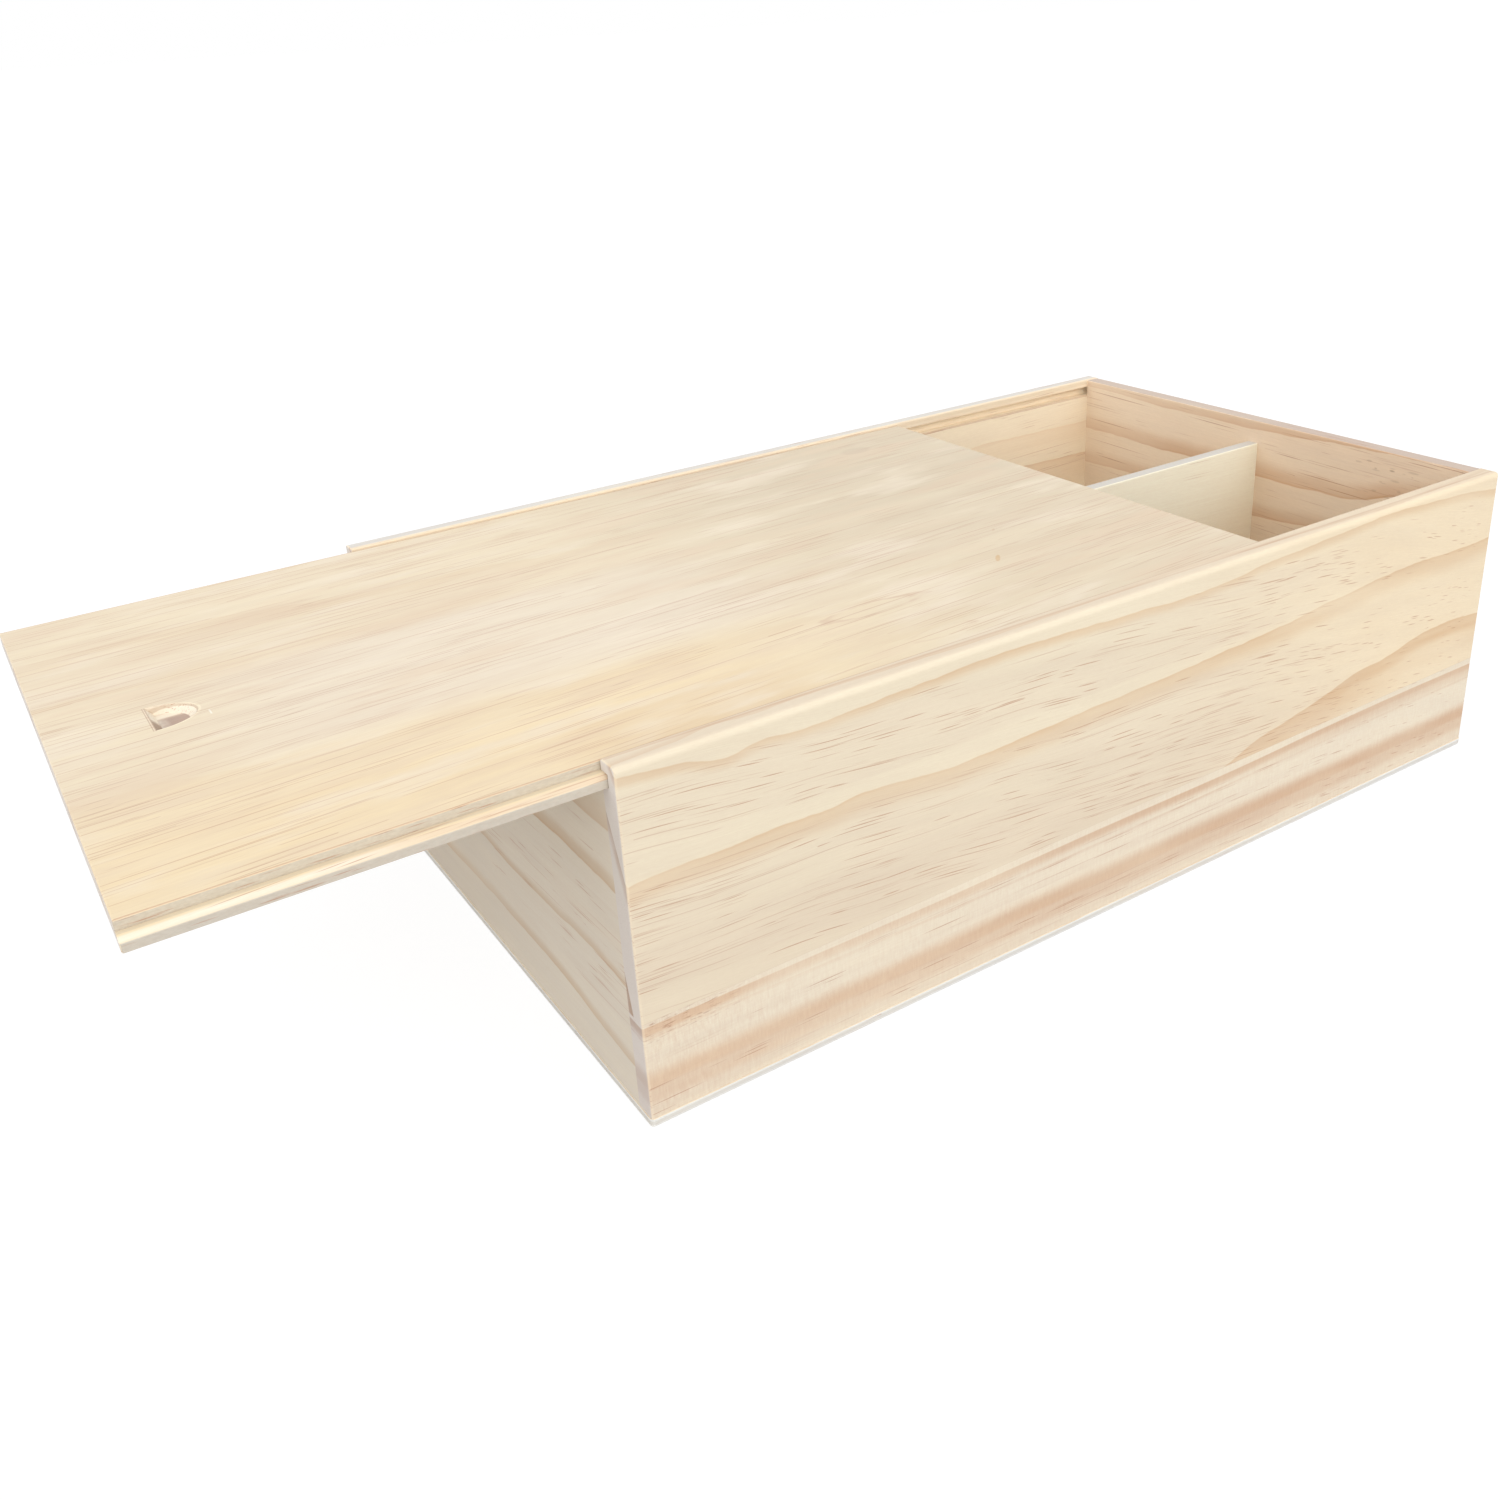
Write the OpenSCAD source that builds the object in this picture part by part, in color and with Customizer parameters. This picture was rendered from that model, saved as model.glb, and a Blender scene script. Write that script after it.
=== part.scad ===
// Pine box with two long compartments and a lid that slides in grooves.
//
// The long sides run along X and the lid is drawn out towards -X. Width runs
// along Y, with the near side wall at -Y and the far one at +Y, and +Z is up.
// The origin is the centre of the box's underside. Millimetres.
//
// Two grooved side walls run the full length. The end panels are butted and
// glued between them, a thin bottom panel is glued and pinned under all four,
// and a divider stands along the middle.

/* [Carcass] */
// Length of the side walls, end to end
box_l = 350; // [220:1:450]
// Width over both side walls
box_w = 206; // [120:1:300]
// Height of the side walls above the bottom panel
wall_h = 105.5; // [60:0.5:180]
// Thickness of a side wall
wall_t = 7; // [6:0.5:12]
// Thickness of an end panel
end_t = 6.5; // [5:0.5:12]
// How far the back panel's top lies below the side walls' top
back_step = 0.2; // [0:0.1:2]
// Thickness of the bottom panel
bottom_t = 2.5; // [2:0.5:5]
// How far the bottom panel's edge stands out past the walls
bottom_proud = 0.3; // [0:0.1:1.5]

/* [Sanded edges] */
// Radius along the outer top edge of a side wall
top_round = 2; // [0.5:0.1:3]
// Radius of the carcass's other outer edges and of its corners
arris = 0.7; // [0.2:0.1:1.5]
// Radius along the inner top edges
inner_arris = 0.4; // [0.1:0.1:0.8]
// Radius of the bottom panel's four corners, seen from above
bottom_corner = 1.4; // [0.5:0.1:4]
// Radius along the bottom panel's upper and lower edges
bottom_arris = 0.4; // [0.1:0.1:0.8]

/* [Lid groove] */
// Height of the lip that holds the lid down
lip_h = 3; // [2:0.1:6]
// Depth of the groove into the side wall
groove_d = 3.4; // [2.4:0.1:4.5]

/* [Lid] */
// Thickness of the lid
lid_t = 6; // [5:0.1:9]
// Thickness of the rabbeted tongue along each long edge
tongue_t = 3.5; // [2.5:0.1:4.5]
// Radius of the rounding along the tongue's upper edge
tongue_round = 2.8; // [2.4:0.1:5]
// Width that this rounding takes off the top of the tongue
tongue_round_w = 2.4; // [0.5:0.1:2.8]
// Radius along the shoulders' upper edges
shoulder_arris = 0.3; // [0.1:0.1:1]
// Radius along the edges of both ends of the lid
lid_arris = 0.5; // [0.1:0.1:1]
// How far the closed lid reaches past the front of the side walls
lid_proud = 1; // [0:0.5:6]
// How far the lid is drawn out from its closed place
lid_open = 109; // [0:1:200]

/* [Lid clearances] */
// Gap between the groove's floor and the tongue
under_gap = 0.1; // [0.1:0.1:0.4]
// Gap between the tongue and the lip above it
over_gap = 0.2; // [0.1:0.1:0.6]
// Gap between the tongue's edge and the groove's back, each side
edge_gap = 0.3; // [0.1:0.1:1]
// Gap between the lid's shoulder and the lip, each side
shoulder_gap = 0.5; // [0.2:0.1:1]
// Gap between the closed lid and the back panel
end_gap = 0.2; // [0.1:0.1:2]

/* [Thumb notch] */
// Length of the straight edge that the thumb pushes against
notch_w = 16.2; // [10:0.2:22]
// Distance from that edge to the far end of the notch
notch_l = 12.2; // [9:0.1:20]
// Depth of the flat floor
notch_depth = 2.3; // [1:0.1:3]
// Distance from the lid's front end to the straight edge
notch_x = 25.7; // [12:0.1:60]

/* [Divider] */
// Thickness of the divider
divider_t = 5; // [3:0.5:9]
// Gap between the divider's top and the underside of the lid
divider_gap = 2.5; // [0.5:0.1:20]
// Radius along the divider's top edges
divider_arris = 0.6; // [0.1:0.1:1]

/* [Front panel] */
// Gap between the front panel's top and the underside of the lid
front_gap = 0.4; // [0.2:0.1:3]

/* [Bottom pins] */
// Diameter of a pin's shank
pin_d = 1.2; // [0.8:0.1:2]
// Length of a pin
pin_l = 14; // [8:1:20]
// Diameter of a pin's head
pin_head_d = 2.2; // [2:0.1:3]
// Thickness of a pin's head
pin_head_h = 0.5; // [0.3:0.1:0.8]
// Length of a pin's point
pin_point_l = 1.5; // [0.8:0.1:3]
// How far a head is set in below the underside
pin_set = 0.3; // [0.1:0.1:0.8]
// Gap all round a pin in its hole
pin_gap = 0.05; // [0.02:0.01:0.1]
// Distance from the end of a side wall to its first pin
pin_inset = 16; // [12:1:40]
// Most that two pins along one edge lie apart
pin_pitch = 80; // [40:5:120]

/* [Hidden] */
$fn = 48;
// Overrun of a cut past the face that it opens
over = 1;

// Heights above the underside
carcass_top = bottom_t + wall_h;
lip_z = carcass_top - lip_h;
groove_h = under_gap + tongue_t + over_gap;
groove_z = lip_z - groove_h;
lid_z = groove_z + under_gap;
divider_top = lid_z - divider_gap;
front_top = lid_z - front_gap;

// Inside of the carcass
inner_l = box_l - 2 * end_t;
inner_w = box_w - 2 * wall_t;

// The lid, measured from the back panel
lid_back_x = box_l / 2 - end_t - end_gap;
lid_front_x = -box_l / 2 - lid_proud;
lid_l = lid_back_x - lid_front_x;
shoulder_y = inner_w / 2 - shoulder_gap;
tongue_y = inner_w / 2 + groove_d - edge_gap;

// Slope of the round cutter that makes the thumb notch: its end face meets the
// lid's top along the straight edge, and its barrel runs out at the far end
notch_slope = asin(notch_w / 2 / notch_l);

// Pins, along the middle of each wall's and panel's underside
side_pin_y = box_w / 2 - wall_t / 2;
end_pin_x = box_l / 2 - end_t / 2;
side_pin_span = box_l - 2 * pin_inset;
end_pin_span = inner_w - 2 * pin_inset;

// What is sanded off a corner at the origin, whose wood lies at -x and -y
module corner_waste(r) {
    difference() {
        translate([-r, -r]) square(r + over);
        translate([-r, -r]) circle(r);
    }
}

// A board's section, its foot at the origin, with both upper corners rounded:
// left_r on the -x corner and right_r on the +x one
module board_section(t, h, left_r, right_r) {
    difference() {
        translate([-t / 2, 0]) square([t, h]);
        translate([t / 2, h]) corner_waste(right_r);
        translate([-t / 2, h]) mirror([1, 0]) corner_waste(left_r);
    }
}

// A rectangle about the origin with all four corners rounded
module rounded_rectangle(l, w, r) {
    difference() {
        square([l, w], center = true);
        for (sx = [0, 1], sy = [0, 1])
            mirror([sx, 0]) mirror([0, sy]) translate([l / 2, w / 2]) corner_waste(r);
    }
}

// Extrusions of a section: along X from its Y-Z section, and along Y from its
// X-Z section, both centred on the origin
module along_x(l) {
    rotate([90, 0, 90]) translate([0, 0, -l / 2]) linear_extrude(l) children();
}

module along_y(l) {
    rotate([90, 0, 0]) translate([0, 0, -l / 2]) linear_extrude(l) children();
}

// Wood taken off both ends of a side wall: the upright outer edge and the edge
// across its top, where the assembled carcass is sanded
module side_wall_end_waste() {
    for (side = [0, 1]) mirror([side, 0, 0]) translate([box_l / 2, 0, 0]) {
        translate([0, box_w / 2, bottom_t - over]) linear_extrude(wall_h + 2 * over)
            corner_waste(arris);
        translate([0, box_w / 2 - wall_t / 2, carcass_top]) along_y(wall_t + 2 * over)
            corner_waste(arris);
    }
}

// One side wall, on the +Y side: lip, groove and rounded outer top edge
module side_wall() {
    difference() {
        along_x(box_l) difference() {
            translate([box_w / 2 - wall_t / 2, bottom_t])
                board_section(wall_t, wall_h, inner_arris, top_round);
            translate([inner_w / 2 - over, groove_z]) square([groove_d + over, groove_h]);
        }
        side_wall_end_waste();
        bottom_pin_holes();
    }
}

module far_side_wall() {
    color([0.93, 0.87, 0.76]) side_wall();
}

module near_side_wall() {
    color([0.93, 0.88, 0.78]) mirror([0, 1, 0]) side_wall();
}

// An end panel between the side walls, with its outer face at x = box_l / 2
module end_panel(h) {
    difference() {
        translate([box_l / 2 - end_t / 2, 0, bottom_t]) along_y(inner_w)
            board_section(end_t, h, inner_arris, arris);
        bottom_pin_holes();
    }
}

module back_end_panel() {
    color([0.88, 0.79, 0.68]) end_panel(wall_h - back_step);
}

module front_end_panel() {
    color([0.80, 0.74, 0.65]) mirror([1, 0, 0]) end_panel(front_top - bottom_t);
}

// Thin sheet under the walls, all its edges eased
module bottom_panel() {
    sheet_l = box_l + 2 * bottom_proud;
    sheet_w = box_w + 2 * bottom_proud;
    mid = bottom_t / 2;
    color([0.90, 0.86, 0.78]) difference() {
        intersection() {
            linear_extrude(bottom_t) rounded_rectangle(sheet_l, sheet_w, bottom_corner);
            translate([0, 0, mid]) along_x(sheet_l)
                rounded_rectangle(sheet_w, bottom_t, bottom_arris);
            translate([0, 0, mid]) along_y(sheet_w)
                rounded_rectangle(sheet_l, bottom_t, bottom_arris);
        }
        bottom_pin_holes();
    }
}

// Upright board that parts the two compartments
module divider() {
    color([0.95, 0.91, 0.82]) translate([0, 0, bottom_t]) along_x(inner_l)
        board_section(divider_t, divider_top - bottom_t, divider_arris, divider_arris);
}

// Half of the lid's section, its underside at the origin: full thickness out to
// the shoulder, then a tongue whose upper edge is rounded
module lid_half_section() {
    difference() {
        square([shoulder_y, lid_t]);
        translate([shoulder_y, lid_t]) corner_waste(shoulder_arris);
    }
    difference() {
        square([tongue_y, tongue_t]);
        translate([tongue_y - tongue_round_w + tongue_round, tongue_t]) corner_waste(tongue_round);
    }
}

// The thumb notch: a round cutter leaning back from the straight edge, which
// lies across the origin at the height of the lid's top, stopped at the floor
module thumb_notch() {
    intersection() {
        rotate([0, 90 - notch_slope, 0]) cylinder(d = notch_w, h = notch_l + over);
        translate([0, -notch_w / 2, -notch_depth])
            cube([notch_l + over, notch_w, notch_depth + over]);
    }
}

// The lid: a rabbet along both long edges and a thumb notch near the front
module sliding_lid() {
    lid_mid_x = (lid_front_x + lid_back_x) / 2 - lid_open;
    color([0.96, 0.90, 0.79]) translate([lid_mid_x, 0, lid_z]) difference() {
        intersection() {
            along_x(lid_l) {
                lid_half_section();
                mirror([1, 0]) lid_half_section();
            }
            translate([0, 0, lid_t / 2]) along_y(2 * tongue_y)
                rounded_rectangle(lid_l, lid_t, lid_arris);
            linear_extrude(lid_t) rounded_rectangle(lid_l, 2 * tongue_y, lid_arris);
        }
        translate([notch_x - lid_l / 2, 0, lid_t]) thumb_notch();
    }
}

// One pin, its head's face at the origin and its point up. As a hole, it is
// wider by gap all round and reaches down past the head by mouth
module pin(gap = 0, mouth = 0) {
    shank_l = pin_l - pin_point_l;
    translate([0, 0, -mouth]) cylinder(d = pin_head_d + 2 * gap, h = mouth + pin_head_h + gap);
    cylinder(d = pin_d + 2 * gap, h = shank_l + gap);
    translate([0, 0, shank_l + gap]) cylinder(d1 = pin_d + 2 * gap, d2 = pin_d / 4, h = pin_point_l);
}

// Places its children at every pin: along both side walls and both end panels
module at_pins() {
    side_count = ceil(side_pin_span / pin_pitch);
    end_count = ceil(end_pin_span / pin_pitch);
    for (side = [-1, 1], i = [0 : side_count])
        translate([side_pin_span * (i / side_count - 0.5), side * side_pin_y, pin_set])
            children();
    for (end = [-1, 1], i = [0 : end_count])
        translate([end * end_pin_x, end_pin_span * (i / end_count - 0.5), pin_set])
            children();
}

// The pins' holes, each opened down through the underside
module bottom_pin_holes() {
    at_pins() pin(pin_gap, pin_set + over);
}

module bottom_pins() {
    color([0.72, 0.72, 0.73]) at_pins() pin();
}

bottom_panel();
near_side_wall();
far_side_wall();
front_end_panel();
back_end_panel();
divider();
sliding_lid();
bottom_pins();
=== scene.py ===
from math import radians

import bmesh
import bpy
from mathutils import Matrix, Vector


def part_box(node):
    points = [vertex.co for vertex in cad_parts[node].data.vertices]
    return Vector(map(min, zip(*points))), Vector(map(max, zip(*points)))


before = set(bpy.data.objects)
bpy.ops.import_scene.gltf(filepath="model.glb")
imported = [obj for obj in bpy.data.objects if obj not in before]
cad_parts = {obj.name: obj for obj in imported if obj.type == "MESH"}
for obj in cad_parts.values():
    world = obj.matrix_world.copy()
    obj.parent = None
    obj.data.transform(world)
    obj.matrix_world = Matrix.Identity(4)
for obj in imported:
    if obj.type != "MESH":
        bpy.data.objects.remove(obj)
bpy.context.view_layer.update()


# ---------------------------------------------------------------- near side wall
# Two pine staves glued edge to edge, a wide flat-sawn one over a narrow quarter-sawn
# one, then planed, grooved for the lid and sanded. The wall is glued to both end
# panels and stands on the bottom panel.

def shade(red, green, blue):
    """A colour as it looks on screen, 0 to 255, as the linear colour that a shader takes."""
    def linear(value):
        value /= 255
        return value / 12.92 if value <= 0.04045 else ((value + 0.055) / 1.055) ** 2.4
    return (linear(red), linear(green), linear(blue), 1)


def node(tree, kind, inputs=(), **settings):
    """Adds a shader node; inputs are given by place or by name, as values or as sockets."""
    made = tree.nodes.new("ShaderNode" + kind)
    for name, value in settings.items():
        setattr(made, name, value)
    for key, value in inputs.items() if isinstance(inputs, dict) else enumerate(inputs):
        if isinstance(value, bpy.types.NodeSocket):
            tree.links.new(value, made.inputs[key])
        else:
            made.inputs[key].default_value = value
    return made.outputs


def calc(tree, operation, *values):
    """One sum, under the name that the math node has for it."""
    return node(tree, "Math", values, operation=operation)[0]


def most(tree, *values):
    """The largest of several values."""
    top = values[0]
    for value in values[1:]:
        top = calc(tree, "MAXIMUM", top, value)
    return top


def times(tree, *values):
    """Several values multiplied together."""
    product = values[0]
    for value in values[1:]:
        product = calc(tree, "MULTIPLY", product, value)
    return product


def tint(tree, amount, below, above):
    """Lays the colour above over the colour below."""
    return node(tree, "MixRGB", (amount, below, above))[0]


def paint(tree, colour, tone, *amounts):
    """Lays a tone over a colour, as strongly as all the amounts multiplied together."""
    return tint(tree, times(tree, *amounts), colour, shade(*tone))


def step(tree, value, start, end):
    """Rises smoothly from 0 at start to 1 at end; the end may be below the start."""
    low, high, first, last = (start, end, 0.0, 1.0) if start < end else (end, start, 1.0, 0.0)
    return node(tree, "MapRange", {"Value": value, "From Min": low, "From Max": high,
                                   "To Min": first, "To Max": last},
                interpolation_type="SMOOTHSTEP")[0]


def window(tree, value, low, high, soft):
    """1 between low and high, fading to 0 over a distance of soft outside them."""
    return times(tree, step(tree, value, low - soft, low), step(tree, value, high + soft, high))


def millimetres(corners):
    """The two corners of a box that is given in metres."""
    return [corner * 1000 for corner in corners]


def board_space(tree, along="X", across="Z", through="Y"):
    """Where a point lies on its board, in millimetres: along and across the grain, and into it."""
    place = node(tree, "TexCoord")["Object"]
    place = node(tree, "VectorMath", {0: place, "Scale": 1000}, operation="SCALE")[0]
    axes = node(tree, "SeparateXYZ", [place])
    parts = [axes[axis] for axis in (along, across, through)]
    return parts, node(tree, "CombineXYZ", parts)[0]


def figure(tree, space, size, low=0.0, high=1.0, detail=2, seed=0):
    """Cloudy noise whose patches measure size in millimetres, mostly from low to high."""
    at = node(tree, "Mapping", {"Vector": space, "Location": (seed * 7.3, seed * 3.1, seed * 5.7),
                                "Scale": [1 / s for s in size]})[0]
    cloud = node(tree, "TexNoise", {"Vector": at, "Scale": 1, "Detail": detail, "Roughness": 0.55})[0]
    return node(tree, "MapRange", {"Value": cloud, "From Min": 0.28, "From Max": 0.72,
                                   "To Min": low, "To Max": high}, clamp=False)[0]


def wavering(tree, space, height, patch, sway, seed):
    """A height that wavers by about sway either way, in patches that are as long as patch."""
    return calc(tree, "ADD", figure(tree, space, (patch, 90, 90), -sway, sway, 3, seed), height)


def ring(tree, along, height, points, body, strength=1.0, edge=0.5):
    """The late wood of one year: a dark crest line with a sharp outer edge, and a paler body that
    ends softly below it, or above it where body is negative. The points lie along the board, and
    edge is the crest line's share of the dark."""
    reach, tall, fade = 400, 240, 0.8
    curve = node(tree, "FloatCurve", {"Value": calc(tree, "MULTIPLY_ADD", along, 1 / reach, 0.5)})
    mapping = curve[0].node.mapping
    knots = mapping.curves[0].points
    while len(knots) < len(points):
        knots.new(0.5, 0.5)
    for knot, (at, up) in zip(knots, points):
        knot.location = (at / reach + 0.5, up / tall + 0.5)
        knot.handle_type = "AUTO"
    mapping.update()
    crest = calc(tree, "MULTIPLY_ADD", curve[0], tall, -tall / 2)
    depth = calc(tree, "SUBTRACT", crest, height)
    if body < 0:
        depth = calc(tree, "MULTIPLY", depth, -1)
    inside = calc(tree, "MAXIMUM", depth, 0)
    thin = calc(tree, "EXPONENT", calc(tree, "MULTIPLY", inside, -1 / fade))
    wide = times(tree, step(tree, inside, 1.5 * abs(body), 0.45 * abs(body)), 1 - edge)
    dark = calc(tree, "MULTIPLY_ADD", thin, edge, wide)
    return times(tree, dark, step(tree, depth, -0.25, 0.25), strength)


def canals(tree, space, cell, thick, share, seed=0):
    """Resin canals: thin dark lines with the grain where it is cut lengthwise, and dots on end
    grain. Each cell, in millimetres, has one line or none; share is how many have one."""
    at = node(tree, "Mapping", {"Vector": space, "Location": (seed * 1.7, seed * 2.9, seed * 4.3),
                                "Scale": [1 / s for s in cell]})[0]
    dots = node(tree, "TexVoronoi", {"Vector": at, "Scale": 1, "Randomness": 1})
    away = node(tree, "VectorMath", [at, dots["Position"]], operation="SUBTRACT")[0]
    away = node(tree, "VectorMath", [away, cell], operation="MULTIPLY")[0]
    apart = node(tree, "SeparateXYZ", [away])
    luck = node(tree, "SeparateXYZ", [dots["Color"]])
    half = calc(tree, "MULTIPLY_ADD", luck[1], 0.32 * cell[0], 0.13 * cell[0])
    end = calc(tree, "DIVIDE", apart[0], half)
    slim = calc(tree, "SUBTRACT", 1, times(tree, end, end))
    off = calc(tree, "SQRT", calc(tree, "ADD", times(tree, apart[1], apart[1]),
                                  times(tree, apart[2], apart[2])))
    inside = calc(tree, "SUBTRACT", times(tree, slim, thick), off)
    dark = step(tree, inside, -0.07, thick * 0.6)
    chosen = calc(tree, "LESS_THAN", luck[0], share)
    return times(tree, dark, chosen, calc(tree, "MULTIPLY_ADD", luck[2], 0.7, 0.3))


def facing(tree, axis):
    """1 on the faces that look along an axis, either way, and 0 on the others."""
    normal = node(tree, "SeparateXYZ", [node(tree, "TexCoord")["Normal"]])[axis]
    return step(tree, calc(tree, "ABSOLUTE", normal), 0.75, 0.97)


def wood(name):
    """A new material and its empty tree."""
    material = bpy.data.materials.new(name)
    material.use_nodes = True
    material.node_tree.nodes.clear()
    return material, material.node_tree


def sanded(tree, colour, late, flow, crowd, axis="X", clouds=0.3, ends=0.75, seed=1):
    """Ends a wood material: clouds, fine fibres, resin canals, end grain whose rings stand out,
    and a dry, finely sanded surface whose grain can just be felt. The grain runs along flow."""
    pale = figure(tree, flow, (70, 12, 12), -0.1, clouds, 3, seed)
    colour = paint(tree, colour, (252, 240, 214), pale)
    greys = figure(tree, flow, (45, 8, 8), -0.15, clouds * 0.5, 2, seed + 1)
    colour = paint(tree, colour, (216, 198, 178), greys)
    colour = paint(tree, colour, (212, 190, 174), step(tree, crowd, 0.1, 1.2), 0.14)
    fibres = figure(tree, flow, (30, 0.45, 0.45), 0.0, 1.0, 3, seed + 2)
    colour = paint(tree, colour, (214, 186, 156), fibres, 0.13)
    specks = figure(tree, flow, (2.2, 0.45, 0.45), 0.0, 0.1, 2, seed + 3)
    colour = paint(tree, colour, (206, 182, 156), specks)
    long_lines = canals(tree, flow, (60, 0.7, 0.7), 0.16, crowd, seed)
    short_lines = canals(tree, flow, (24, 0.6, 0.6), 0.12, times(tree, crowd, 0.8), seed + 1)
    lines = most(tree, long_lines, short_lines)
    colour = paint(tree, colour, (182, 126, 94), lines, 0.72)
    cut = facing(tree, axis)
    rings = tint(tree, late, shade(223, 216, 213), shade(172, 144, 130))
    colour = tint(tree, times(tree, cut, ends), colour, rings)
    relief = calc(tree, "SUBTRACT", fibres, lines)
    bump = node(tree, "Bump", {"Height": relief, "Strength": 0.4, "Distance": 0.00006})[0]
    surface = node(tree, "BsdfPrincipled", {"Base Color": colour, "Roughness": 0.6,
                                            "Specular IOR Level": 0.3, "Normal": bump})[0]
    node(tree, "OutputMaterial", [surface])


def dress(name, material):
    """Gives a node of the frame its one material."""
    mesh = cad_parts[name].data
    mesh.materials.clear()
    mesh.materials.append(material)


wall, tree = wood("near_wall_pine")
low, high = millimetres(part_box("near_side_wall"))
(along, up, through), space = board_space(tree)
sunk = calc(tree, "SUBTRACT", through, low.y)
ragged = wavering(tree, space, up, 16, 0.45, seed=1)

# The upper stave: three rings, which lean ever more through the board towards its heart. The
# lowest is broad where the joint cuts it off, so a paler ring lies behind it.
lowest = ((-175, 12), (-60, 19), (0, 27), (42, 35.3), (58, 40.3), (71, 42.5), (86, 45.5),
          (104, 49.4), (126, 52.1), (142, 55), (175, 54.4))
rings = [
    (((-175, 105.1), (-157, 103.7), (-144, 101), (-136, 102.3), (-118, 101.7), (-96, 102.3),
      (-82, 103), (-50, 103.5), (-8, 102.2), (35, 101.6), (53, 103.3), (80, 104.4), (103, 105.5),
      (117, 106.2), (140, 105.1), (162, 103.6), (174, 102.1)), 2.6, 0.9, 1.4, 0.4),
    (((-175, 74.6), (-161, 75.7), (-146, 75.5), (-131, 76.1), (-114, 75.5), (-105, 76.4),
      (-93, 75.7), (-75, 74), (-42, 74.7), (3, 76.4), (35, 77.8), (53, 78.5), (71, 79.8),
      (84, 81.2), (99, 82.1), (126, 84.2), (156, 83.3), (175, 83.8)), 6.0, 1.0, 2.7, 0.45),
    (lowest, 6.5, 1.3, 4.8, 0.2),
    (lowest, 14.0, calc(tree, "MULTIPLY_ADD", step(tree, along, 135, 75), 0.6, 0.4), 4.8, 0.0),
]
late = 0.0
for points, body, strength, lean, edge in rings:
    leaning = calc(tree, "MULTIPLY_ADD", sunk, -lean, ragged)
    late = calc(tree, "MAXIMUM", late, ring(tree, along, leaning, points, body, strength, edge))
late = times(tree, late, figure(tree, space, (70, 6, 6), 0.65, 1.15, 2, seed=2))
cream = tint(tree, step(tree, along, -20, 130), shade(240, 228, 203), shade(244, 226, 195))
cream = paint(tree, cream, (229, 214, 191), step(tree, up, 74, 44), step(tree, along, 130, -50), 0.75)
upper = paint(tree, cream, (222, 188, 148), late)

# The lower stave: rings that stand square to its face, crossed by fine silvery ripples. A dark
# stripe, broader towards the back, lies under the joint, then a thread, then the brown heart.
level = calc(tree, "ADD", up, figure(tree, space, (130, 600, 600), -0.5, 0.5, 1, seed=3))
stripe_at = ((-175, 31.6), (-100, 31.7), (0, 31.9), (55, 32.3), (90, 33.2), (175, 33.8))
stripe = ring(tree, along, level, stripe_at, 2.8, 0.95, 0.1)
shadow = ring(tree, along, level, stripe_at, 5.0, 0.5, 0.0)
fading = calc(tree, "ADD", step(tree, along, -130, -165),
              calc(tree, "MULTIPLY_ADD", step(tree, along, -130, 60), 0.35, 0.6))
thread_at = ((-175, 28.4), (-100, 27.5), (0, 27.2), (60, 28.0), (175, 28.6))
thread = ring(tree, along, level, thread_at, 0.9, 0.5, 0.3)
thread = times(tree, thread, figure(tree, space, (40, 90, 90), 0.3, 1.2, 2, seed=9))
stripe = most(tree, times(tree, stripe, fading), times(tree, shadow, step(tree, along, 20, 110)),
              thread)
level = calc(tree, "ADD", level, figure(tree, space, (45, 600, 600), -0.5, 0.5, 2, seed=7))
heart = most(tree, times(tree, step(tree, level, 19.4, 14.2), step(tree, level, 9.2, 12.8), 0.9),
             times(tree, step(tree, level, 18.5, 13.5), 0.62))
heart = times(tree, heart, calc(tree, "MULTIPLY_ADD", step(tree, level, 5.4, 8.6), 0.75, 0.25))
bands = most(tree, stripe, heart)
brown = tint(tree, step(tree, along, -20, -110), shade(214, 180, 149), shade(224, 194, 164))
lower = tint(tree, bands, shade(240, 230, 210), brown)
left = step(tree, along, -118, -172)
ripple = figure(tree, space, (0.55, 3.0, 3.0), 0.0, 1.0, 2, seed=4)
lively = calc(tree, "MULTIPLY_ADD", most(tree, bands, left), 0.16, 0.15)
lower = paint(tree, lower, (200, 154, 126), ripple, lively)

# The saw tore the stripe's fibres at the front end.
torn = step(tree, figure(tree, space, (3.5, 0.5, 2), 0.0, 1.0, 3, seed=8), 0.55, 0.95)
torn = times(tree, torn, step(tree, along, -135, -168), window(tree, level, 27.5, 33.5, 2.5))
lower = paint(tree, lower, (164, 104, 78), torn, 0.75)

# Both staves, and the glue line between them, which climbs a little towards the back.
glued_at = 34.7
joint = calc(tree, "MULTIPLY_ADD", along, -0.0085, up)
below_joint = step(tree, joint, glued_at + 0.15, glued_at - 0.15)
colour = tint(tree, below_joint, upper, lower)
seam = window(tree, joint, glued_at - 0.02, glued_at + 0.04, 0.16)
colour = paint(tree, colour, (196, 166, 138), seam, 0.2)
above_joint = calc(tree, "SUBTRACT", 1, below_joint)
late = most(tree, times(tree, late, above_joint), times(tree, bands, below_joint, 0.45))

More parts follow.
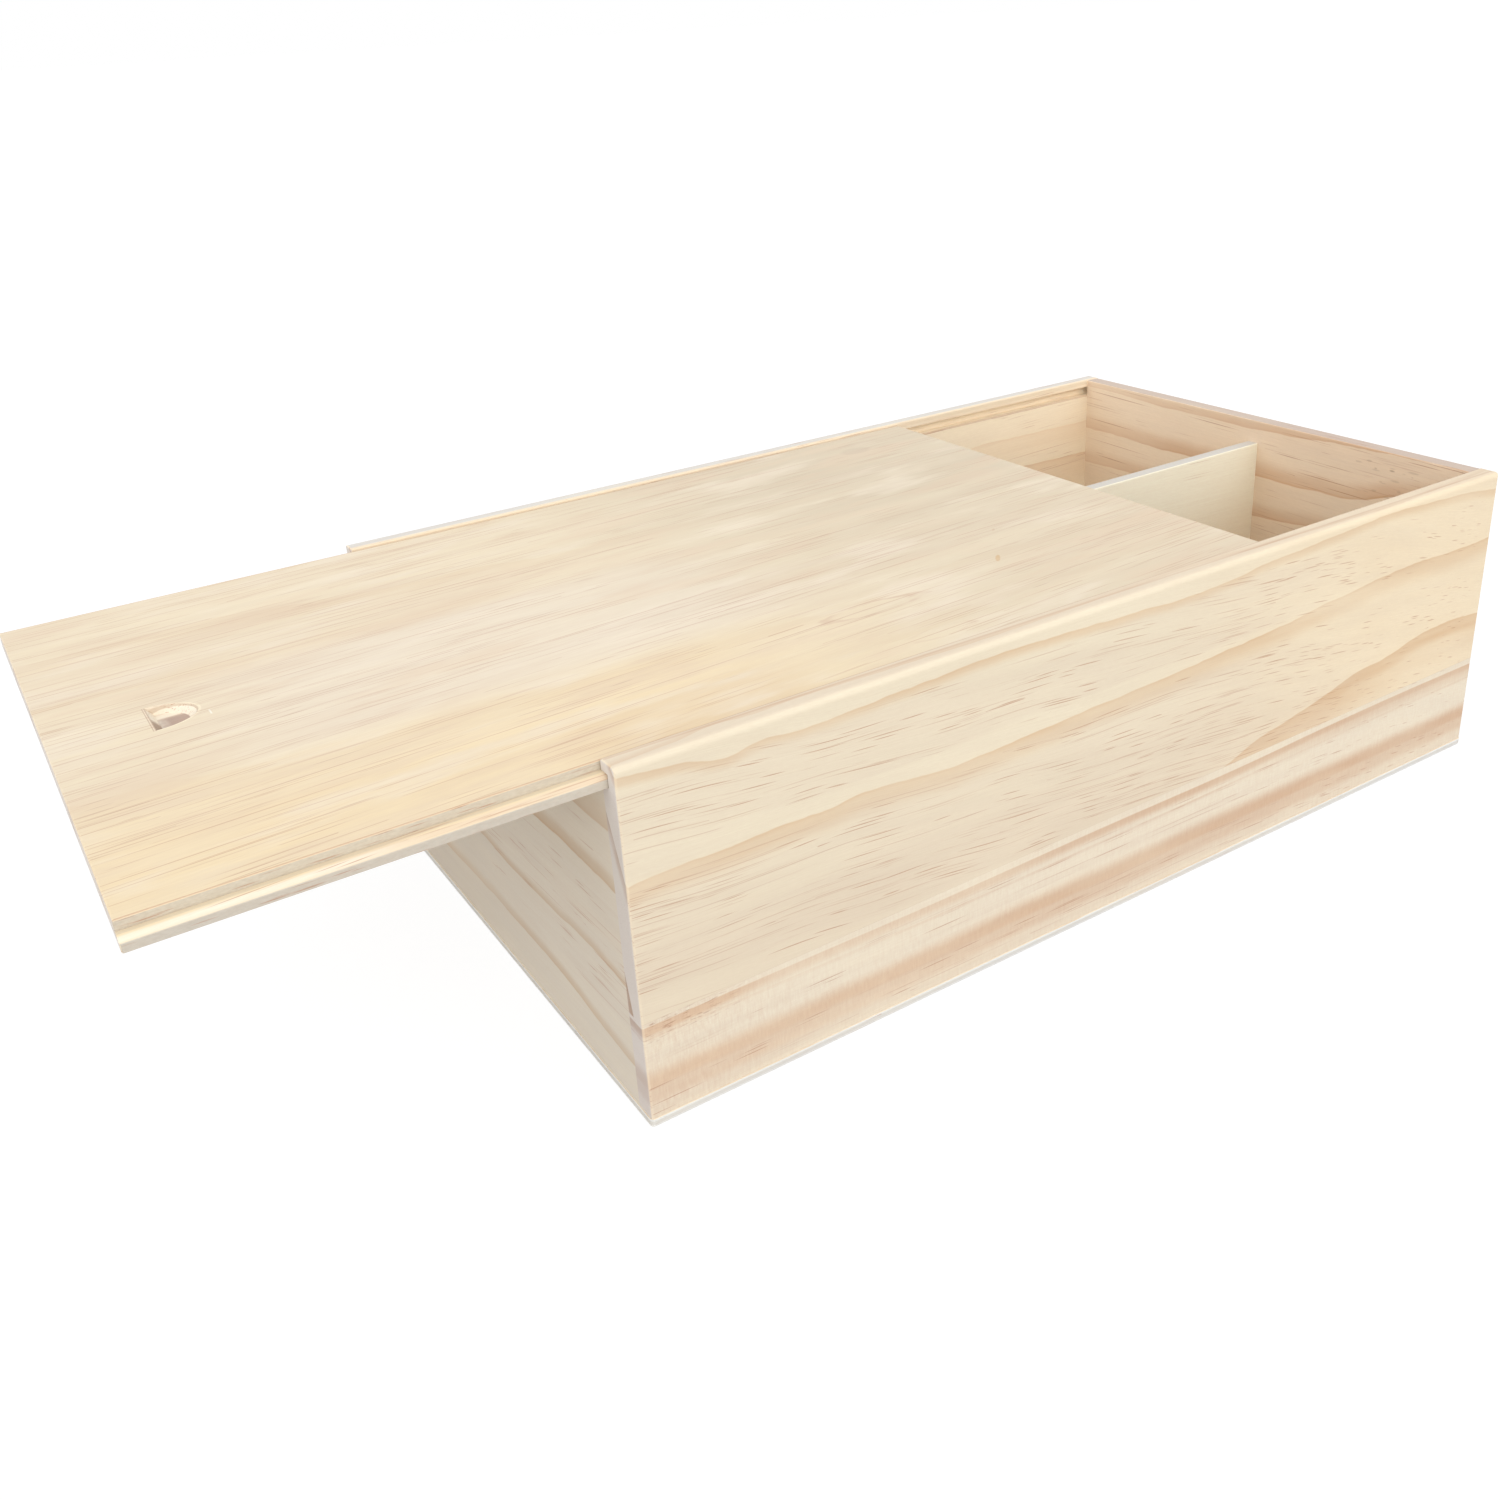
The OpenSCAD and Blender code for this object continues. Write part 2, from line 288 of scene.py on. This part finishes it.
# The top edge is duller, with a ring's line along it and a painted shadow along its inner arris,
# where the gap at the lid lies in shade. The front end's arris is a paler painted highlight.
crown = times(tree, facing(tree, "Z"), step(tree, up, high.z - 1.2, high.z - 0.4))
colour = paint(tree, colour, (222, 205, 186), crown, 0.5)
streak = window(tree, calc(tree, "MULTIPLY_ADD", along, 0.01, sunk), 4.0, 4.5, 0.4)
colour = paint(tree, colour, (200, 160, 130), crown, streak, 0.4)
# Painted shadow: a brown line on the inner arris, for the shaded gap at the lid.
inner = times(tree, window(tree, sunk, 6.6, 7.1, 0.15), step(tree, up, high.z - 1.2, high.z - 0.6))
colour = paint(tree, colour, (186, 148, 120), inner, 0.55)
# Painted highlight: the front end's arris is lightened.
arris = times(tree, step(tree, along, low.x + 0.9, low.x + 0.4), step(tree, sunk, 0.8, 0.2))
colour = paint(tree, colour, (252, 234, 206), arris, 0.35)

# The grain runs down to the right, and dips into the board at the right-hand end.
dip = calc(tree, "POWER", calc(tree, "MAXIMUM", calc(tree, "SUBTRACT", along, 20), 0), 2)
drift = figure(tree, space, (90, 40, 40), -2.2, 2.2, 1, seed=5)
slope = calc(tree, "MULTIPLY_ADD", below_joint, -0.054, 0.06)
drift = calc(tree, "ADD", times(tree, drift, above_joint), calc(tree, "MULTIPLY", dip, 0.0004))
fall = calc(tree, "ADD", calc(tree, "MULTIPLY_ADD", along, slope, up), drift)
flow = node(tree, "CombineXYZ", [along, fall, calc(tree, "MULTIPLY_ADD", dip, 0.0003, through)])[0]

# Resin canals crowd in a few zones between the rings, with long hairlines at the front end.
zones = most(tree, window(tree, up, 82, 99, 3), window(tree, up, 37, 71, 4),
             times(tree, window(tree, up, 26.5, 28.5, 1), 0.9),
             times(tree, window(tree, up, 20.5, 22.5, 1), 0.8), window(tree, up, 4.5, 12, 1))
crowd = times(tree, figure(tree, flow, (85, 7, 7), 0.0, 1.9, 2, seed=6), zones,
              calc(tree, "MULTIPLY_ADD", step(tree, along, 150, 20), 0.78, 0.22))
hairy = times(tree, most(tree, window(tree, up, 83, 99, 2), window(tree, up, 44, 72, 3)),
              step(tree, along, -20, -120))
hairs = canals(tree, flow, (130, 1.1, 1.1), 0.14, times(tree, hairy, 0.75), 8)
colour = paint(tree, colour, (186, 138, 108), hairs, 0.6)
sanded(tree, colour, late, flow, crowd)
dress("near_side_wall", wall)


# ---------------------------------------------------------------- far side wall
# The same board without a glued joint: one flat-sawn piece of pine, grooved on its
# inner side for the lid's other tongue. It too is glued to both end panels.

def years(tree, along, height, rows, edge=0.5):
    """The late wood of several years, from the points, body and strength of each year's ring."""
    return most(tree, *[ring(tree, along, height, *row, edge) for row in rows])


def grain(tree, along, drop, across, through):
    """The directions of grain that drops across the board as it runs along it."""
    return node(tree, "CombineXYZ", [along, calc(tree, "MULTIPLY_ADD", along, drop, across), through])[0]


wall, tree = wood("far_wall_pine")
low, high = millimetres(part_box("far_side_wall"))
(along, up, through), space = board_space(tree)
sunk = calc(tree, "SUBTRACT", high.y, through)
ragged = wavering(tree, space, up, 22, 0.7, seed=11)
leaning = calc(tree, "MULTIPLY_ADD", sunk, 0.9, ragged)
late = years(tree, along, leaning, (
    (((-175, 111), (-60, 108), (60, 109.4), (175, 109.6)), -2.2, 0.75),
    (((-175, 97), (-60, 92), (50, 95.2), (175, 95.4)), 9.0, 0.5),
    (((-175, 84), (-40, 76), (60, 81), (175, 80.2)), 12.0, 0.85),
    (((-175, 63), (-100, 60), (0, 48), (90, 58), (175, 62)), 7.0, 0.75),
    (((-175, 22), (-60, 34), (40, 21), (110, 27), (175, 20)), -6.0, 0.7)))
late = times(tree, late, figure(tree, space, (60, 7, 7), 0.7, 1.1, 2, seed=12))
colour = tint(tree, late, shade(255, 240, 213), shade(232, 194, 155))

# The top edge is painted grey as a reflection of grazing light, darker at the outer arris and
# cream at the inner one. A brown line of painted shadow lies along the groove's lower edge.
# Painted reflection: the grey top edge and its arrises.
crown = times(tree, facing(tree, "Z"), step(tree, up, high.z - 1.5, high.z - 0.5),
              step(tree, sunk, 6.4, 4.6))
colour = paint(tree, colour, (218, 220, 220), crown, 0.8)
outer = times(tree, step(tree, sunk, 1.8, 0.3), step(tree, up, high.z - 2.8, high.z - 1.6))
colour = paint(tree, colour, (192, 194, 190), outer, 0.8)
inner = times(tree, step(tree, sunk, 5.8, 6.6), step(tree, up, high.z - 2.4, high.z - 1.4))
colour = paint(tree, colour, (236, 214, 184), inner, 0.5)
# Painted shadow along the groove's lower edge.
groove_shadow = times(tree, step(tree, sunk, 6.5, 6.9), window(tree, up, 100.6, 101.4, 0.4))
colour = paint(tree, colour, (200, 160, 128), groove_shadow, 0.5)
flow = grain(tree, along, -0.03, up, through)
crowd = figure(tree, flow, (80, 7, 7), -0.35, 0.9, 2, seed=13)
sanded(tree, colour, late, flow, crowd, clouds=0.15, seed=14)
dress("far_side_wall", wall)


# ---------------------------------------------------------------- front end panel
# A flat-sawn pine panel glued between the side walls, a little lower than they
# are, so that the lid slides out over it. Its grain runs across the box.

panel, tree = wood("front_panel_pine")
low = millimetres(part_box("front_end_panel"))[0]
(along, up, through), space = board_space(tree, "Y", "Z", "X")
sunk = calc(tree, "SUBTRACT", through, low.x)
ragged = wavering(tree, space, up, 15, 0.5, seed=21)
leaning = calc(tree, "MULTIPLY_ADD", sunk, -1.1, ragged)
# The top ring's broad dark body, just under the drawn lid, is partly painted shade.
late = years(tree, along, leaning, (
    (((-97, 87.4), (-40, 87.2), (20, 88.5), (97, 86)), -7.5, 1.0),
    (((-97, 69.4), (-85, 70.2), (-60, 69.6), (10, 66), (97, 68)), -4.2, 1.25),
    (((-97, 41.1), (-70, 42.2), (-53, 40.4), (4, 40), (40, 41.2), (97, 38)), -2.6, 0.9),
    (((-97, 15.8), (-85, 16), (-70, 17.6), (-53, 18.8), (-23, 19.2), (14, 18.4), (40, 17.2),
      (97, 12)), -3.2, 1.0)))
late = times(tree, late, figure(tree, space, (50, 8, 8), 0.65, 1.1, 2, seed=22))
# Darker towards the far wall: painted shade, as the light comes from the near side.
tone_shaded_to_far = tint(tree, step(tree, along, -60, 70), shade(229, 220, 205), shade(214, 203, 187))
colour = paint(tree, tone_shaded_to_far, (203, 174, 141), late)
flow = grain(tree, along, 0.05, up, through)
crowd = times(tree, figure(tree, flow, (60, 6, 6), -0.4, 1.2, 2, seed=23),
              most(tree, window(tree, up, 28, 62, 3), window(tree, up, 76, 83, 2)))
sanded(tree, colour, late, flow, crowd, "Y", clouds=0.2, seed=24)
dress("front_end_panel", panel)


# ---------------------------------------------------------------- back end panel
# A darker flat-sawn pine panel, glued between the side walls at full height. It
# stops the lid. Its rings show as broad tan bands, dark along their lower edges.

panel, tree = wood("back_panel_pine")
low, high = millimetres(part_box("back_end_panel"))
(along, up, through), space = board_space(tree, "Y", "Z", "X")
sunk = calc(tree, "SUBTRACT", through, low.x)
ragged = wavering(tree, space, up, 20, 0.6, seed=31)
leaning = calc(tree, "MULTIPLY_ADD", sunk, 1.3, ragged)
late = years(tree, along, leaning, (
    (((-96, 107), (-50, 107), (-20, 105), (96, 105)), -3.5, 0.7),
    (((-96, 94), (-70, 92), (-50, 86.5), (-30, 85.2), (0, 85.2), (96, 85.6)), -5.5, 0.95),
    (((-96, 72), (-40, 70.5), (0, 68), (50, 70), (96, 69.4)), -5.0, 0.85),
    (((-96, 49), (-30, 51), (40, 47), (96, 50)), -5.0, 0.85),
    (((-96, 31), (-20, 29), (50, 32), (96, 30)), -5.0, 0.8),
    (((-96, 12), (0, 13), (96, 11)), -4.5, 0.8)), edge=0.45)
late = times(tree, late, figure(tree, space, (55, 8, 8), 0.7, 1.1, 2, seed=32),
             calc(tree, "MULTIPLY_ADD", step(tree, along, 90, 30), 0.5, 0.5))
# Paler and warmer towards the far wall: painted light, the glow in that corner of the box.
warm = tint(tree, step(tree, along, -10, 80), shade(248, 224, 197), shade(255, 234, 208))
colour = paint(tree, warm, (206, 151, 101), late)
# Painted reflection: the top edge is greyed as grazing light makes it look.
crown = times(tree, facing(tree, "Z"), step(tree, up, high.z - 1.3, high.z - 0.4))
colour = paint(tree, colour, (196, 180, 171), crown, 0.85)
flow = grain(tree, along, -0.02, up, through)
near_half = calc(tree, "MULTIPLY_ADD", step(tree, along, 20, -40), 0.6, 0.4)
crowd = times(tree, figure(tree, flow, (40, 5, 5), -0.2, 1.3, 2, seed=33), near_half)

# Short flecks of resin lie under the top edge, by the near wall.
flecked = times(tree, window(tree, up, 91, 103, 1.5), step(tree, along, -44, -58))
flecks = canals(tree, space, (7, 2.2, 2.2), 0.5, flecked, 35)
colour = paint(tree, colour, (156, 122, 94), flecks, 0.75)
sanded(tree, colour, late, flow, crowd, "Y", clouds=0.2, seed=34)
dress("back_end_panel", panel)


# ---------------------------------------------------------------- divider
# A thin, plain board of the palest sapwood, which parts the box lengthwise. It
# is glued between the end panels and stands on the bottom panel.

board, tree = wood("divider_pine")
low, high = millimetres(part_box("divider"))
(along, up, through), space = board_space(tree)
sunk = calc(tree, "SUBTRACT", through, low.y)
ragged = wavering(tree, space, up, 40, 1.2, seed=41)
leaning = calc(tree, "MULTIPLY_ADD", sunk, 0.6, ragged)
late = years(tree, along, leaning, (
    (((-170, 74), (-40, 66), (60, 58), (170, 52)), 6.0, 0.3),
    (((-170, 40), (-40, 34), (60, 27), (170, 24)), 6.0, 0.35)), edge=0.3)
# Paler towards the top: painted light, where more light falls in from above.
lit_towards_top = tint(tree, step(tree, up, 55, 90), shade(247, 236, 211), shade(255, 251, 230))
colour = paint(tree, lit_towards_top, (236, 216, 183), late)
# Painted reflection: the top edge is greyed as grazing light makes it look.
crown = times(tree, facing(tree, "Z"), step(tree, up, high.z - 1.3, high.z - 0.4))
colour = paint(tree, colour, (206, 203, 199), crown, 0.85)
flow = grain(tree, along, 0.03, up, through)
crowd = figure(tree, flow, (60, 8, 8), -0.6, 0.3, 2, seed=43)
sanded(tree, colour, late, flow, crowd, clouds=0.1, seed=44)
dress("divider", board)


# ---------------------------------------------------------------- bottom panel
# A sheet of thin three-ply, pale veneer outside and a darker core that shows
# along its sawn edges. It covers the whole underside and is pinned on from below.

sheet, tree = wood("bottom_plywood")
(along, across, height), space = board_space(tree, "X", "Y", "Z")

# The veneer's rings are tall arches, one inside the other about the middle of the sheet.
wander = figure(tree, space, (120, 24, 24), -9, 9, 2, seed=51)
rise = calc(tree, "ABSOLUTE", calc(tree, "ADD", across, wander))
arch = calc(tree, "MULTIPLY_ADD", rise, 0.11, calc(tree, "MULTIPLY", along, 0.012))
wave = calc(tree, "FRACT", arch)
late = times(tree, step(tree, wave, 0.45, 0.93), step(tree, wave, 1.0, 0.95), 0.5)
colour = tint(tree, late, shade(238, 226, 203), shade(220, 193, 158))
side = node(tree, "SeparateXYZ", [node(tree, "TexCoord")["Normal"]])["Z"]
edge = step(tree, calc(tree, "ABSOLUTE", side), 0.8, 0.5)
core = window(tree, height, 0.75, 1.75, 0.12)
plies = tint(tree, core, shade(236, 240, 241), shade(220, 221, 220))
colour = tint(tree, times(tree, edge, 0.9), colour, plies)
flow = grain(tree, along, 0.01, across, height)
crowd = figure(tree, flow, (90, 8, 8), -0.5, 0.7, 2, seed=53)
sanded(tree, colour, late, flow, crowd, clouds=0.2, ends=0.0, seed=54)
dress("bottom_panel", sheet)


# ---------------------------------------------------------------- bottom pins
# Small steel pins that hold the bottom panel to the walls and end panels, their
# flat heads set just under its surface. Drawn wire, dull, with a trace of zinc.

wire, tree = wood("pin_steel")
space = board_space(tree)[1]
mottle = figure(tree, space, (0.8, 0.8, 0.8), 0.0, 1.0, 3, seed=61)
colour = tint(tree, mottle, shade(150, 152, 154), shade(196, 198, 200))
rough = calc(tree, "MULTIPLY_ADD", mottle, 0.16, 0.3)
scratches = figure(tree, space, (0.1, 1.2, 0.1), 0.0, 1.0, 2, seed=62)
bump = node(tree, "Bump", {"Height": scratches, "Strength": 0.25, "Distance": 0.00002})[0]
surface = node(tree, "BsdfPrincipled", {"Base Color": colour, "Metallic": 1.0, "Roughness": rough,
                                        "Normal": bump})[0]
node(tree, "OutputMaterial", [surface])
dress("bottom_pins", wire)


# ---------------------------------------------------------------- sliding lid
# A wide flat-sawn board, rabbeted along both long edges to a rounded tongue that
# runs in the grooves of the walls. A thumb notch is cut in its top near the front.

lid, tree = wood("lid_pine")
low, high = millimetres(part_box("sliding_lid"))
front, top = low.x, high.z
(along, across, height), space = board_space(tree, "X", "Y", "Z")
ragged = wavering(tree, space, across, 60, 5, seed=71)
late = years(tree, along, ragged, (
    (((-285, 64), (-200, 58), (-100, 47), (0, 40), (60, 38)), 9.0, 0.3),
    (((-285, 22), (-200, 20), (-100, 8), (0, 3), (60, 6)), -9.0, 0.3),
    (((-285, -38), (-200, -44), (-100, -52), (0, -47), (60, -50)), 8.0, 0.3),
    (((-285, -88), (-200, -76), (-100, -84), (0, -78), (60, -74)), -8.0, 0.25)), edge=0.0)
colour = tint(tree, late, shade(240, 226, 198), shade(228, 203, 168))

# Its colour changes over the board: warm and tan along the near edge, silvery in the middle, and
# darker towards the box and the far edge as painted shade, with small cloudy patches all over.
warm = times(tree, step(tree, along, -20, -150), step(tree, across, -25, -70), 0.85)
colour = paint(tree, colour, (246, 225, 185), warm)
tan = times(tree, window(tree, along, -165, -125, 25), step(tree, across, -64, -84), 0.45)
colour = paint(tree, colour, (222, 194, 158), tan)
silver = times(tree, window(tree, along, -215, -110, 50), window(tree, across, -35, 12, 18), 0.6)
colour = paint(tree, colour, (240, 229, 212), silver)
# Painted shade: darker towards the box and the far edge.
shade_towards_box = calc(tree, "MULTIPLY_ADD", step(tree, across, -70, 60), 0.5, 0.45)
colour = paint(tree, colour, (216, 203, 179), shade_towards_box, step(tree, along, -160, 0))
flow = node(tree, "CombineXYZ", [calc(tree, "MULTIPLY", along, 0.6),
                                 calc(tree, "MULTIPLY_ADD", along, -0.045, across), height])[0]
patches = figure(tree, flow, (30, 12, 12), 0.0, 1.0, 3, seed=75)
colour = paint(tree, colour, (228, 204, 178), step(tree, patches, 0.55, 0.05), 0.42)
colour = paint(tree, colour, (246, 235, 216), step(tree, patches, 0.5, 1.0), 0.55)

# Two faint eyes where a ring is planed through, a small pale knot and two flecks of resin.
for x, y, long, wide, depth in ((-68, -60.5, 18, 4.2, 0.6), (-64, -87, 12, 3.4, 0.35)):
    outward = node(tree, "VectorMath", {0: space, 1: (-x, -y, -top)}, operation="ADD")[0]
    outward = node(tree, "VectorMath", {0: outward, 1: (1 / long, 1 / wide, 0)},
                   operation="MULTIPLY")[0]
    part = node(tree, "SeparateXYZ", [node(tree, "VectorMath", [outward], operation="ABSOLUTE")[0]])
    far = calc(tree, "ADD", calc(tree, "POWER", part[0], 1.2), times(tree, part[1], part[1]))
    far = calc(tree, "ADD", far, figure(tree, space, (8, 3, 3), -0.2, 0.2, 2, seed=76))
    broken = figure(tree, space, (9, 3, 3), -0.1, 1.3, 1, seed=77)
    eye = times(tree, window(tree, far, 0.9, 1.05, 0.22), node(tree, "Clamp", [broken])[0])
    colour = paint(tree, colour, (206, 172, 148), eye, depth)
for x, y, long, wide, turn, depth, stain in ((24, 77, 7, 4, 0.0, 0.4, (196, 178, 158)),
                                             (-13, -52.5, 3, 0.8, 0.85, 0.75, (214, 176, 122)),
                                             (3.5, -31, 1.4, 0.5, 0.75, 0.4, (206, 172, 134))):
    spot = node(tree, "Mapping", {"Vector": space, "Location": (x, y, top), "Scale": (long, wide, 9),
                                  "Rotation": (0, 0, turn)}, vector_type="TEXTURE")[0]
    far = node(tree, "VectorMath", {0: spot}, operation="LENGTH")["Value"]
    colour = paint(tree, colour, stain, step(tree, far, 1.15, 0.75), depth)

# Resin canals crowd here and there. Short dark flecks lie at the near front corner and by the
# box, and a few elsewhere.
busy = most(tree, times(tree, step(tree, along, -60, -200), step(tree, across, -85, -40)),
            times(tree, window(tree, across, -70, -20, 12), 0.8),
            times(tree, step(tree, along, 0, 40), step(tree, across, -10, -30)), 0.5)
crowd = times(tree, figure(tree, flow, (60, 8, 8), 0.1, 1.9, 2, seed=73), busy)
flecked = most(tree, times(tree, step(tree, along, -255, -272), window(tree, across, -62, -34, 8)),
               times(tree, step(tree, along, -15, 25), step(tree, across, 15, -25)), 0.25)
flecks = canals(tree, flow, (16, 1.0, 1.0), 0.17, times(tree, flecked, 0.8), 81)
colour = paint(tree, colour, (176, 130, 104), flecks, 0.7)

# The rabbet: its grey planed foot, a faint line of painted shade and dirt in its corner, the flat
# of the tongue in painted shade, a painted highlight on the round of its edge, and the raw nose
# below that. Towards the box the round is painted darker instead, with torn brown strands.
shoulder, tip = 95.5, 99.1
out = calc(tree, "ABSOLUTE", across)
shelf = calc(tree, "SUBTRACT", 1, step(tree, height, top - 0.35, top - 0.15))
torn = figure(tree, space, (1.4, 0.5, 0.5), 0.0, 0.4, 2, seed=78)
# Painted shade on the tongue's flat beside the shoulder.
flat_shade = window(tree, out, shoulder - 0.1, shoulder + 1.5, 0.2)
foot = window(tree, out, shoulder - 0.2, shoulder + 0.1, 0.15)
# Painted shade and dirt: a faint dark line in the corner of the rabbet.
foot_shade_and_dirt = times(tree, window(tree, out, shoulder + 0.05, shoulder + 0.25, 0.15),
                  window(tree, height, top - 2.7, top - 2.3, 0.2))
ridge = times(tree, window(tree, out, tip - 1.1, tip - 0.5, 0.6),
              step(tree, height, top - 4.1, top - 3.7))
nose = step(tree, out, tip - 0.18, tip - 0.05)
raw = times(tree, nose, step(tree, height, top - 3.5, top - 3.8))
# Painted highlight on the round of the tongue; towards the box the round is painted darker instead.
dry = step(tree, along, -240, -212)
ridge_highlight = times(tree, ridge, calc(tree, "SUBTRACT", 1, dry))
strands = step(tree, figure(tree, space, (28, 0.55, 0.55), 0.0, 1.0, 2, seed=80), 0.55, 0.9)
strands = times(tree, window(tree, out, tip - 2.9, tip - 0.5, 0.3), dry, strands)
for place, depth, tone in ((flat_shade, 0.85, (224, 210, 182)),
                           (foot, 0.9, (217, 211, 196)),
                           (times(tree, foot, torn), 1.0, (176, 164, 144)),
                           (foot_shade_and_dirt, 0.2, (150, 124, 98)),
                           (ridge_highlight, 0.65, (254, 248, 232)),
                           (times(tree, ridge, dry), 0.75, (234, 212, 184)),
                           (strands, 0.7, (202, 160, 128)),
                           (raw, 0.9, (208, 203, 193)),
                           (times(tree, nose, torn), 0.8, (180, 170, 154))):
    colour = paint(tree, colour, tone, place, shelf, depth)
rim = times(tree, window(tree, out, shoulder - 0.45, shoulder - 0.15, 0.15),
            step(tree, height, top - 0.6, top - 0.3))
colour = paint(tree, colour, (198, 152, 120), rim, 0.7)

# The thumb notch: the thumb pushes against its straight edge, and a half oval is scooped out from
# there towards the box. Its walls are painted pale as lit, its rim has a painted highlight with a
# painted shadow line inside, and its floor is painted grey as shade, with a brown patch to one
# side that is partly painted shadow.
push, notch_long, notch_half, notch_deep = front + 25.7, 12.2, 8.1, 2.3
into = calc(tree, "SUBTRACT", along, push)
bow = node(tree, "CombineXYZ", [calc(tree, "MULTIPLY", into, 1 / notch_long),
                                calc(tree, "MULTIPLY", across, 1 / notch_half), 0])[0]
bow = node(tree, "VectorMath", {0: bow}, operation="LENGTH")["Value"]
ahead = times(tree, step(tree, into, -0.15, 0.1),
              step(tree, height, top - notch_deep - 0.5, top - notch_deep - 0.2))
sunken = times(tree, ahead, step(tree, bow, 1.02, 0.99), step(tree, height, top - 0.02, top - 0.12))
# Painted light: the notch's walls are painted pale, as lit.
colour = paint(tree, colour, (252, 244, 226), sunken, 0.85)
# Painted highlight along the notch's rim.
rim_highlight = times(tree, ahead, window(tree, bow, 1.01, 1.05, 0.015))
colour = paint(tree, colour, (254, 242, 214), rim_highlight, 0.9)
# Painted shadow: a thin dark line just inside the rim.
rim_shadow_line = times(tree, ahead, window(tree, bow, 0.965, 0.985, 0.015))
colour = paint(tree, colour, (176, 146, 114), rim_shadow_line, 0.55)
# Painted shade: the floor is greyed below the rims.
shaded_floor = times(tree, sunken, step(tree, height, top - notch_deep + 0.2, top - notch_deep + 0.05))
colour = paint(tree, colour, (214, 200, 187), shaded_floor, step(tree, across, 4.6, 2.8), 0.8)
# A brown patch on the floor by the near rim: partly painted shadow of the rim, partly the wood's own
# tone.
rough = calc(tree, "ADD", into, figure(tree, space, (1.5, 1.5, 1.5), -0.8, 0.8, 2, seed=79))
rough = times(tree, shaded_floor, step(tree, across, 4.2, 2.8), step(tree, rough, 1.6, 5.2))
colour = paint(tree, colour, (180, 156, 144), rough, 0.95)
# Painted shadow on the lower part of the straight wall.
wedge_shadow = times(tree, sunken, step(tree, into, 2.3, 1.9), step(tree, across, 1.5, -2.0))
colour = paint(tree, colour, (150, 122, 102), wedge_shadow, 0.85)

# The straight edge is a pale line between two darker ones, and a bright nick lies beyond.
stop = window(tree, across, -notch_half - 0.1, notch_half + 0.1, 0.2)
for begin, end, tone in ((-0.45, -0.15, (236, 217, 196)),
                         (-0.65, -0.55, (176, 144, 118)),
                         (-0.1, 0.05, (170, 140, 116))):
    colour = paint(tree, colour, tone, stop, window(tree, into, begin, end, 0.12), 0.6)
nick = times(tree, window(tree, along, push + 14.1, push + 14.4, 0.15),
             window(tree, across, -6.5, -4, 0.6))
colour = paint(tree, colour, (255, 250, 236), nick, 0.95)
sanded(tree, colour, late, flow, crowd, clouds=0.25, seed=74)
dress("sliding_lid", lid)


# ---------------------------------------------------------------- studio
# A pale floor that runs out to a white surround, a broad soft lamp on the near
# side, a weaker one over the drawn lid, and even light from all round.

def shown(tree):
    """1 for the rays that show a thing to the camera, also in a mirror or through glass, else 0."""
    rays = node(tree, "LightPath")
    return most(tree, rays["Is Camera Ray"], rays["Is Glossy Ray"], rays["Is Transmission Ray"])


def white_light(tree, strength):
    """White light from all round."""
    return node(tree, "Background", {"Color": (1, 1, 1, 1), "Strength": strength})[0]


floor_mesh = bmesh.new()
bmesh.ops.create_grid(floor_mesh, x_segments=1, y_segments=1, size=30)
floor_data = bpy.data.meshes.new("studio_floor")
floor_mesh.to_mesh(floor_data)
floor_mesh.free()
floor = bpy.data.objects.new("studio_floor", floor_data)
bpy.context.scene.collection.objects.link(floor)

# The floor shows as lit white paper with a faint shadow, but lights the box as a grey card does.
paper, tree = wood("studio_paper")
card = node(tree, "BsdfDiffuse", {"Color": (0.55, 0.55, 0.55, 1)})[0]
pale = node(tree, "BsdfDiffuse", {"Color": (0.97, 0.97, 0.97, 1)})[0]
bright = node(tree, "Emission", {"Color": (1, 1, 1, 1), "Strength": 1.06})[0]
lit_paper = node(tree, "MixShader", [0.84, pale, bright])[0]
node(tree, "OutputMaterial", [node(tree, "MixShader", [shown(tree), card, lit_paper])[0]])
floor_data.materials.append(paper)

# The surround shows as white, and lights the box a little less than white would.
surround = bpy.data.worlds.new("white_surround")
surround.use_nodes = True
surround.node_tree.nodes.clear()
tree = surround.node_tree
mixed = node(tree, "MixShader", [shown(tree), white_light(tree, 0.76), white_light(tree, 1.0)])[0]
node(tree, "OutputWorld", [mixed])
bpy.context.scene.world = surround

for name, energy, spread, turn in (("broad_lamp", 1.18, 60, (60, 0, 0)),
                                   ("side_lamp", 0.75, 70, (58, 0, -90))):
    light = bpy.data.lights.new(name, "SUN")
    light.energy = energy
    light.angle = radians(spread)
    lamp = bpy.data.objects.new(name, light)
    lamp.rotation_euler = [radians(angle) for angle in turn]
    bpy.context.scene.collection.objects.link(lamp)

# The camera stands where the photograph was taken from, a little tilted, with a shifted frame.
camera_data = bpy.data.cameras.new("camera")
camera_data.lens = 34.63
camera_data.sensor_width = 36
camera_data.shift_x = -0.0259
camera_data.shift_y = -0.0754
camera = bpy.data.objects.new("camera", camera_data)
camera.location = (-0.2974, -0.3811, 0.2697)
camera.rotation_euler = (radians(66.571), radians(2.861), radians(-33.154))
bpy.context.scene.collection.objects.link(camera)
bpy.context.scene.camera = camera
bpy.context.scene.view_settings.view_transform = "Standard"
